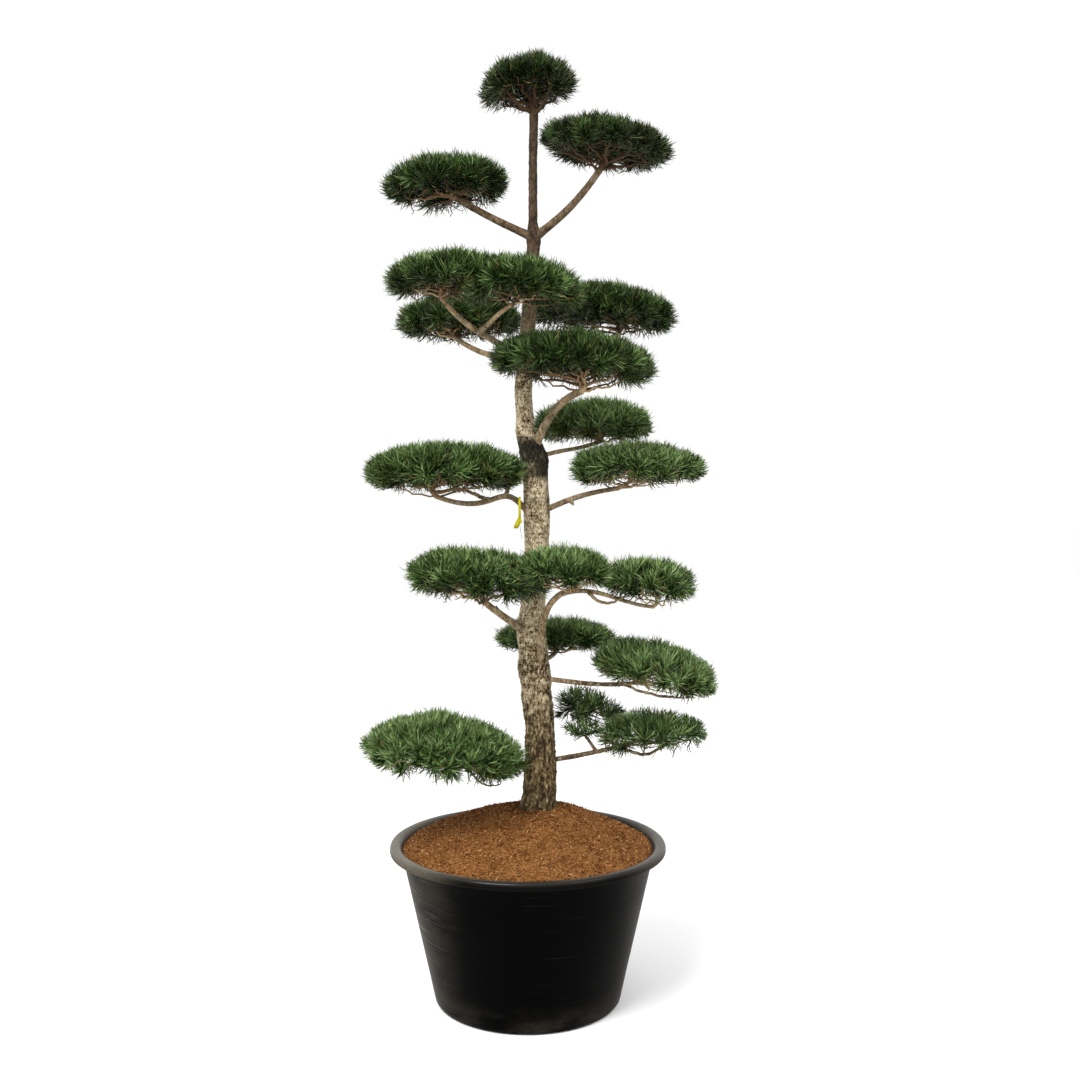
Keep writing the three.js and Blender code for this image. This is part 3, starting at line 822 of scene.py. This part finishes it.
def even_taper(paths, foot_radius, tip_radius):
    """Radii for twigs of one kind."""
    radii = np.linspace(foot_radius, tip_radius, paths.shape[1])
    return np.repeat(radii[None], len(paths), axis=0)


def gaps_between(places, others):
    return np.linalg.norm(places[:, None] - others[None], axis=2)


# Light shows through the open pads, which have this share of the usual shoots. One pad's foliage
# runs on down its bough in some shoots more. Some pads' twigs are darker.
open_pads = {
    "low_right": 0.43,
    "low_back": 0.42,
    "second_right": 0.75,
    "third_right": 0.85,
    "fourth_right": 0.9,
}
limb_shoots = {"low_back": 7}
dark_twigs = ("low_right", "low_back", "top_right", "leader")

shoot_area = 0.00048
full_needle_count = 130
needle_length = 0.066
needle_half_width = 0.0014
stray_needle_reach = 0.03
stem_points = 13
fan_points = 9
shoots_per_twig = 3
bare_twig_area = 2100
leader_stem_foot = np.array([0.021, 0, 3.19])
for order, (name, (at, half, rise, drop, slope, crest, tone)) in enumerate(pad_list.items()):
    dice = np.random.default_rng(400 + order)
    pad = {
        "at": np.array(at) / 1000,
        "half": np.array(half) / 1000,
        "rise": rise / 1000,
        "drop": drop / 1000,
        "slope": slope,
        "crest": crest,
        "phase": order * 1.7,
    }
    limb, limb_way, limb_radius = grown[name]
    start = leader_stem_foot if limb is None else limb[-3]

    # Where the shoots stand: evenly over the outline, fewer below, and in low humps. A high pad is
    # looked up at and has more of them below.
    flatness = (pad["rise"] + pad["drop"]) / (pad["half"][0] + pad["half"][1])
    seen_below = float(np.clip((pad["at"][2] - 2.2) / 0.6, 0, 1))
    up = np.linspace(-0.54 + 0.1 * seen_below, 1, 400)
    weight = np.sqrt(flatness**2 * (1 - up**2) + up**2)
    thinning = np.clip((up + 0.5) / 0.3, 0, 1) * (0.55 + 0.25 * seen_below)
    weight = weight * (0.45 - 0.25 * seen_below + thinning)
    filled = np.cumsum(weight) / weight.sum()
    airy = open_pads.get(name, 1.0)
    shoot_count = round(pad["half"][0] * pad["half"][1] / shoot_area * airy)
    needles_per_shoot = round(full_needle_count * airy**0.5)
    rank = np.arange(shoot_count)
    up = np.interp((rank + 0.5) / shoot_count, filled, up)
    up = np.clip(up + dice.normal(size=shoot_count) * 0.03, -0.58, 0.999)
    flat = np.sqrt(1 - up * up)
    turn = pad["phase"] + rank * golden + dice.normal(size=shoot_count) * 0.12
    around = np.stack([np.cos(turn), np.sin(turn), np.zeros(shoot_count)], axis=1)
    way = np.stack([flat * np.cos(turn), flat * np.sin(turn), up], axis=1)
    tallness = np.array([pad["half"][0], pad["half"][1], (pad["rise"] + pad["drop"]) / 2])
    low = np.clip(-up / 0.4, 0, 1)[:, None]
    lift = np.array([0, 0, 1.0]) * (0.6 - 0.45 * low)
    lean = unit(way / tallness) * (1 - 0.7 * low) + around * 0.75 * low + lift
    lean = unit(lean + dice.normal(size=(shoot_count, 3)) * 0.3)
    surface_way = pad_point(pad, way, 0.0)
    humps = np.array([noise.noise(Vector(place) * 11) for place in surface_way])
    inset = 0.052 + 0.03 * humps + 0.028 * (dice.random(shoot_count) - 0.5)
    inset = np.maximum(0.026, inset - 0.024 * low[:, 0])
    bud = pad_point(pad, way, inset)
    shoot_length = np.minimum(0.056, 0.55 * pad["rise"]) * (0.7 + 0.6 * dice.random(shoot_count))
    root = bud - lean * shoot_length[:, None]

    # Shoots down the bough.
    strays = limb_shoots.get(name, 0)
    if strays:
        share = np.linspace(0.35, 0.95, strays)
        along = limb[np.round(share * (len(limb) - 1)).astype(int)]
        side_lean = unit(dice.normal(size=(strays, 3)) * (0.8, 0.5, 0.5) + [0.2, -0.3, 0.5])
        lean = np.concatenate([lean, side_lean])
        root = np.concatenate([root, along + side_lean * 0.012])
        bud = np.concatenate([bud, along + side_lean * 0.055])
        shoot_length = np.concatenate([shoot_length, np.full(strays, 0.043)])
        up = np.concatenate([up, np.zeros(strays)])
        low = np.concatenate([low, np.zeros((strays, 1))])
        shoot_count += strays
    inside = np.arange(shoot_count) < shoot_count - strays

    # The stem and the thick twigs that fan out of it, by the rule that the boughs follow.
    reach = np.linalg.norm(pad["at"] - start)
    bend = start + limb_way * reach * 0.5
    first = start + (bend - start) * 2 / 3
    second = pad["at"] + (bend - pad["at"]) * 2 / 3
    stem = smooth_bend(start, first, second, pad["at"], stem_points)
    stem_radii = limb_radius * (1 - 0.6 * np.linspace(0, 1, stem_points))
    fan_count = round(7 + half[0] / 50)
    rank = np.arange(fan_count)
    leave = 1 + np.round(0.5 * rank / fan_count * (stem_points - 1)).astype(int)
    fan_turn = pad["phase"] + rank * golden
    outward = np.stack([np.cos(fan_turn), np.sin(fan_turn), 0.6 * rank / fan_count - 0.55], axis=1)
    fan_end = pad_point(pad, unit(outward), 0.05)
    fan_start = stem[leave]
    stem_way = unit(np.gradient(stem, axis=0))[leave]
    level = (fan_end - fan_start) * (1, 1, 0.1)
    fan_way = unit(unit(level) + 0.3 * stem_way)
    rising = unit(unit(fan_end - fan_start) + np.array([0, 0, 0.5]))
    fans = bent_paths(fan_start, fan_way, fan_end, rising, fan_points)
    fans[:, 1:] += dice.normal(size=(fan_count, fan_points - 1, 3)) * 0.004
    taper = 0.52 - 0.36 * np.linspace(0, 1, fan_points)[None]
    fan_radii = limb_radius * taper * (0.8 + 0.3 * dice.random((fan_count, 1)))

    # Thinner twigs, one for about three shoots. Each leaves the nearest thick twig, rather where
    # that is further inside the pad, and forks into the shoots.
    bearers = list(fans[:, 2:]) + [stem[6:]]
    if strays:
        bearers.append(along)
    knots = np.concatenate(bearers)
    knot_ways = np.concatenate([unit(np.gradient(run, axis=0)) for run in bearers])
    seeds = root[::shoots_per_twig]
    of_seed = np.argmin(gaps_between(root, seeds), axis=1)
    fork = np.stack([root[of_seed == i].mean(axis=0) for i in range(len(seeds))])
    fork_way = np.stack([lean[of_seed == i].mean(axis=0) for i in range(len(seeds))])
    gap = gaps_between(fork, knots)
    gap += 0.05 * (outwardness(pad, knots)[None] > outwardness(pad, fork)[:, None])
    knot = np.argmin(gap, axis=1)
    fork = fork - unit(fork_way) * 0.012
    straight = unit(fork - knots[knot])
    fork_in = unit(straight + 0.5 * unit(fork_way))
    thin = bent_paths(knots[knot], unit(knot_ways[knot] + straight), fork, fork_in, 6)
    thin[:, 1:-1] += dice.normal(size=(len(thin), 4, 3)) * 0.002
    ends = fork[of_seed]
    shoots = bent_paths(ends, unit(unit(root - ends) + fork_in[of_seed] * 0.6), bud, lean, 5)

    # Short bare twigs, some dead, that show below the needles.
    bare_count = round(half[0] * half[1] / bare_twig_area)
    rank = np.arange(bare_count)
    turn = pad["phase"] + 0.9 + rank * golden
    outward = np.stack([np.cos(turn), np.sin(turn), -0.35 - 1.1 * dice.random(bare_count)], axis=1)
    tips = pad_point(pad, unit(outward), 0.004 + 0.025 * dice.random(bare_count))
    knot = np.argmin(gaps_between(tips, knots), axis=1)
    arrive = unit(outward * (1, 1, 0) + dice.normal(size=(bare_count, 3)) * 0.5)
    bare = bent_paths(knots[knot], unit(knot_ways[knot] + outward * 0.4), tips, arrive, 7)
    bare[:, 1:-1] += dice.normal(size=(bare_count, 5, 3)) * 0.0025

    points, walls, caps, dealt = [], [], [], []
    first = 0
    for paths, radii, sides, darkness in [
        (stem[None], stem_radii[None], 8, 0.05),
        (fans, fan_radii, 6, 0.1),
        (thin, even_taper(thin, 0.0030, 0.0019), 3, 0.2),
        (bare, even_taper(bare, 0.0032, 0.0012), 3, 0.35),
        (shoots, even_taper(shoots, 0.0018, 0.0013), 3, 0.45),
    ]:
        tube, wall, ends = twig_tubes(paths, radii, sides, first)
        shade = (dice.random(len(paths)) * 0.6 + darkness + 0.42 - 1.2 * tone) * 3
        shade += 1.2 * (name in dark_twigs)
        shade = np.clip(shade, 0, len(twig_finishes) - 1).astype(int)
        points.append(tube)
        walls.append(wall)
        dealt.append(np.repeat(shade, (paths.shape[1] - 1) * sides))
        caps.append((ends, np.concatenate([shade, shade])))
        first += len(tube)
    faces = walls + [ends for ends, _ in caps]
    dealt = np.concatenate(dealt + [shade for _, shade in caps])
    twigs = joined_mesh("twigs_" + name, np.concatenate(points), faces, twig_finishes, dealt)
    twigs.data.polygons.foreach_set("use_smooth", np.ones(len(dealt), dtype=bool))
    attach(twigs, "root")
    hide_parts("pad_" + name)

    # The needles of each shoot, from the foot of its leafy part to its bud, clipped at the pad's
    # outline but for some that stand out. They stand out less at the tree's widest.
    count = shoot_count * needles_per_shoot
    share = np.linspace(0.0, 1, needles_per_shoot)[None] ** 0.8
    around = golden * np.arange(needles_per_shoot)[None] + dice.uniform(0, 7, (shoot_count, 1))
    around = around + dice.normal(size=around.shape) * 0.3
    splay = np.radians(74 - 48 * share + dice.normal(size=around.shape) * 17)
    side = unit(np.cross(lean, dice.normal(size=(shoot_count, 3))))
    third = np.cross(lean, side)
    grow = (
        np.cos(splay)[..., None] * lean[:, None]
        + (np.sin(splay) * np.cos(around))[..., None] * side[:, None]
        + (np.sin(splay) * np.sin(around))[..., None] * third[:, None]
    )
    grow = unit(grow + np.array([0, 0, 0.1])).reshape(-1, 3)
    up_shoot = (shoot_length[:, None] * share)[..., None]
    foot = (root[:, None] + lean[:, None] * up_shoot).reshape(-1, 3)
    ragged = 0.021 * dice.random(shoot_count) ** 1.5
    long = (needle_length * (0.65 + 0.7 * dice.random(count)))[:, None]
    tip = foot + grow * long
    before, after = outwardness(pad, foot), outwardness(pad, tip)
    far = np.linalg.norm(tip - pad["at"], axis=1)
    room = stray_needle_reach * np.clip((0.6 - np.abs(foot[:, 0])) / 0.08, 0.35, 1)
    proud = room * dice.random(count) ** 2.5 - np.repeat(ragged, needles_per_shoot)
    edge = 1 + proud * after / far
    fit = np.clip((edge - before) / np.maximum(after - before, 1e-6), 0.3, 1)
    fit = np.where(after > edge, fit, 1)
    fit = np.where(np.repeat(inside, needles_per_shoot), fit, 0.6)[:, None]
    tip = foot + grow * long * fit
    sag = unit(dice.normal(size=(count, 3)) + [0, 0, 0.9])
    sag = sag - grow * np.sum(sag * grow, axis=1, keepdims=True)
    elbow = foot + grow * long * fit * 0.7 - sag * long * 0.085
    flank = unit(np.cross(grow, dice.normal(size=(count, 3)))) * needle_half_width
    points = np.stack([foot - flank, foot + flank, elbow + flank, elbow - flank, tip], axis=1)
    points = points.reshape(-1, 3)
    place = np.arange(count)[:, None] * 5
    blades, sharp_ends = place + [0, 1, 2, 3], place + [3, 2, 4]

    # Their greens, dealt out by shoot with a spread from needle to needle: lighter above and
    # darker below the pad and lighter towards a shoot's tip, as painted light and shade; olive
    # below the pad, and here and there a dead brown one.
    # Painted light and shade: shoots on the pad's top get lighter greens and those underneath get
    # darker ones.
    green = tone * 4.6 + 0.7 * up - 0.7 * low[:, 0] + dice.normal(size=shoot_count) * 0.6
    # Painted shade: needles deeper down a shoot are darker, and those at its tip are lighter.
    painted_depth_shade = 2.0 * (np.tile(share[0], shoot_count) - 0.61)
    spread = 0.8 + 1.6 * max(0, tone)
    dealt = np.repeat(green, needles_per_shoot) + painted_depth_shade + dice.normal(size=count) * spread
    dealt = np.clip(np.round(dealt), 0, fresh_green).astype(int)
    below = dice.random(shoot_count) < 0.5 * np.clip((-0.15 - up) / 0.4, 0, 1)
    dealt = np.where(np.repeat(below, needles_per_shoot) & (dealt > deep_green), olive, dealt)
    dealt = np.where(dice.random(count) < 0.008 + 0.08 * max(0, 0.15 - tone), old_brown, dealt)
    dealt = np.tile(dealt, 2)
    needles = joined_mesh("needles_" + name, points, [blades, sharp_ends], needle_finishes, dealt)
    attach(needles, "root")
    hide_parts("pad_" + name)

# The ribbon: a strip of thin glossy yellow plastic tape, slung over a bough by the trunk and tied
# below it in a small knot, from which a long tail, a short end and a strand of twine hang.
tape, tape_surface, spot = new_finish("yellow_tape", 0.32)
creases = spot.noise(140, 3)
# Painted shade: the yellow is darker in the hollows of the creases.
yellows_with_painted_crease_shade = creases.ramp((0.35, paint(232, 214, 0)), (0.7, paint(255, 246, 12)))
yellows_with_painted_crease_shade.feed(tape_surface, "Base Color")
creases.relief(0.002, 0.6).feed(tape_surface, "Normal")
twine, twine_surface, _ = new_finish("grey_twine", 0.9)
twine_surface.inputs["Base Color"].default_value = paint(132, 120, 96)

limb = grown["fourth_left"][0]
over = limb[round(0.24 * (len(limb) - 1))]
tape_thickness = 0.0008
sling_radius = 0.0165
sling_steps = 14
knot_drop = 0.053


def tape_strip(name, places, widths):
    """A strip whose short side lies along X, drawn out of a square that is pressed to a line."""
    bpy.ops.object.select_all(action="DESELECT")
    bpy.ops.mesh.primitive_plane_add(size=widths[0])
    piece = bpy.context.object
    piece.name = name
    bpy.ops.object.mode_set(mode="EDIT")
    bpy.ops.mesh.select_all(action="SELECT")
    bpy.ops.transform.resize(value=(1, 0, 1))
    bpy.ops.mesh.remove_doubles()
    bpy.ops.transform.translate(value=places[0])
    for i in range(1, len(places)):
        step = tuple(np.subtract(places[i], places[i - 1]))
        bpy.ops.mesh.extrude_region_move(TRANSFORM_OT_translate={"value": step})
        grow = widths[i] / widths[i - 1]
        bpy.ops.transform.resize(value=(grow, grow, 1), center_override=places[i])
    bpy.ops.mesh.select_all(action="SELECT")
    bpy.ops.transform.translate(value=tuple(over))
    bpy.ops.object.mode_set(mode="OBJECT")
    thicker = piece.modifiers.new("thicker", "SOLIDIFY")
    thicker.thickness = tape_thickness
    thicker.offset = 0
    bpy.ops.object.modifier_apply(modifier=thicker.name)
    return piece


loop = [(0.0015, -0.054), (0.010, -0.034), (0.0155, -0.014)]
for step in range(sling_steps + 1):
    angle = math.pi * step / sling_steps
    loop.append((sling_radius * math.cos(angle), 0.0057 + sling_radius * math.sin(angle)))
loop += [(-0.0155, -0.014), (-0.010, -0.034), (-0.0015, -0.054)]
loop = [(0.0004 * math.sin(z * 900), y, z) for y, z in loop]
ribbon = tape_strip("yellow_ribbon", loop, [0.009] * len(loop))
tail_places = [
    (0, -0.002, -0.052),
    (-0.003, -0.004, -0.062),
    (-0.009, -0.003, -0.078),
    (-0.014, 0, -0.092),
]
tail = tape_strip("tape_tail", tail_places, [0.009, 0.015, 0.019, 0.017])
short_places = [(0, -0.003, -0.052), (0.005, -0.006, -0.064), (0.004, -0.007, -0.074)]
short_end = tape_strip("tape_end", short_places, [0.006, 0.008, 0.007])
strand_places = [
    (0, 0.001, -0.053),
    (0.001, 0.001, -0.080),
    (0.005, 0.001, -0.106),
    (0.009, 0.001, -0.130),
]
strand = tape_strip("tape_strand", strand_places, [0.0016, 0.0016, 0.0014, 0.0012])
bpy.ops.mesh.primitive_uv_sphere_add(segments=14, ring_count=8, radius=0.0065)
knot = bpy.context.object
bpy.ops.object.mode_set(mode="EDIT")
bpy.ops.mesh.select_all(action="SELECT")
bpy.ops.transform.resize(value=(1, 0.75, 0.8))
bpy.ops.transform.translate(value=tuple(over - [0, 0, knot_drop]))
bpy.ops.object.mode_set(mode="OBJECT")
for part in (tail, short_end, knot, strand, ribbon):
    part.data.materials.append(twine if part is strand else tape)
    part.select_set(True)
bpy.context.view_layer.objects.active = ribbon
bpy.ops.object.join()
bpy.ops.object.mode_set(mode="EDIT")
bpy.ops.mesh.select_all(action="SELECT")
bpy.ops.mesh.normals_make_consistent(inside=False)
bpy.ops.object.mode_set(mode="OBJECT")
bpy.ops.object.shade_smooth()
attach(ribbon, "root")
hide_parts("ribbon")
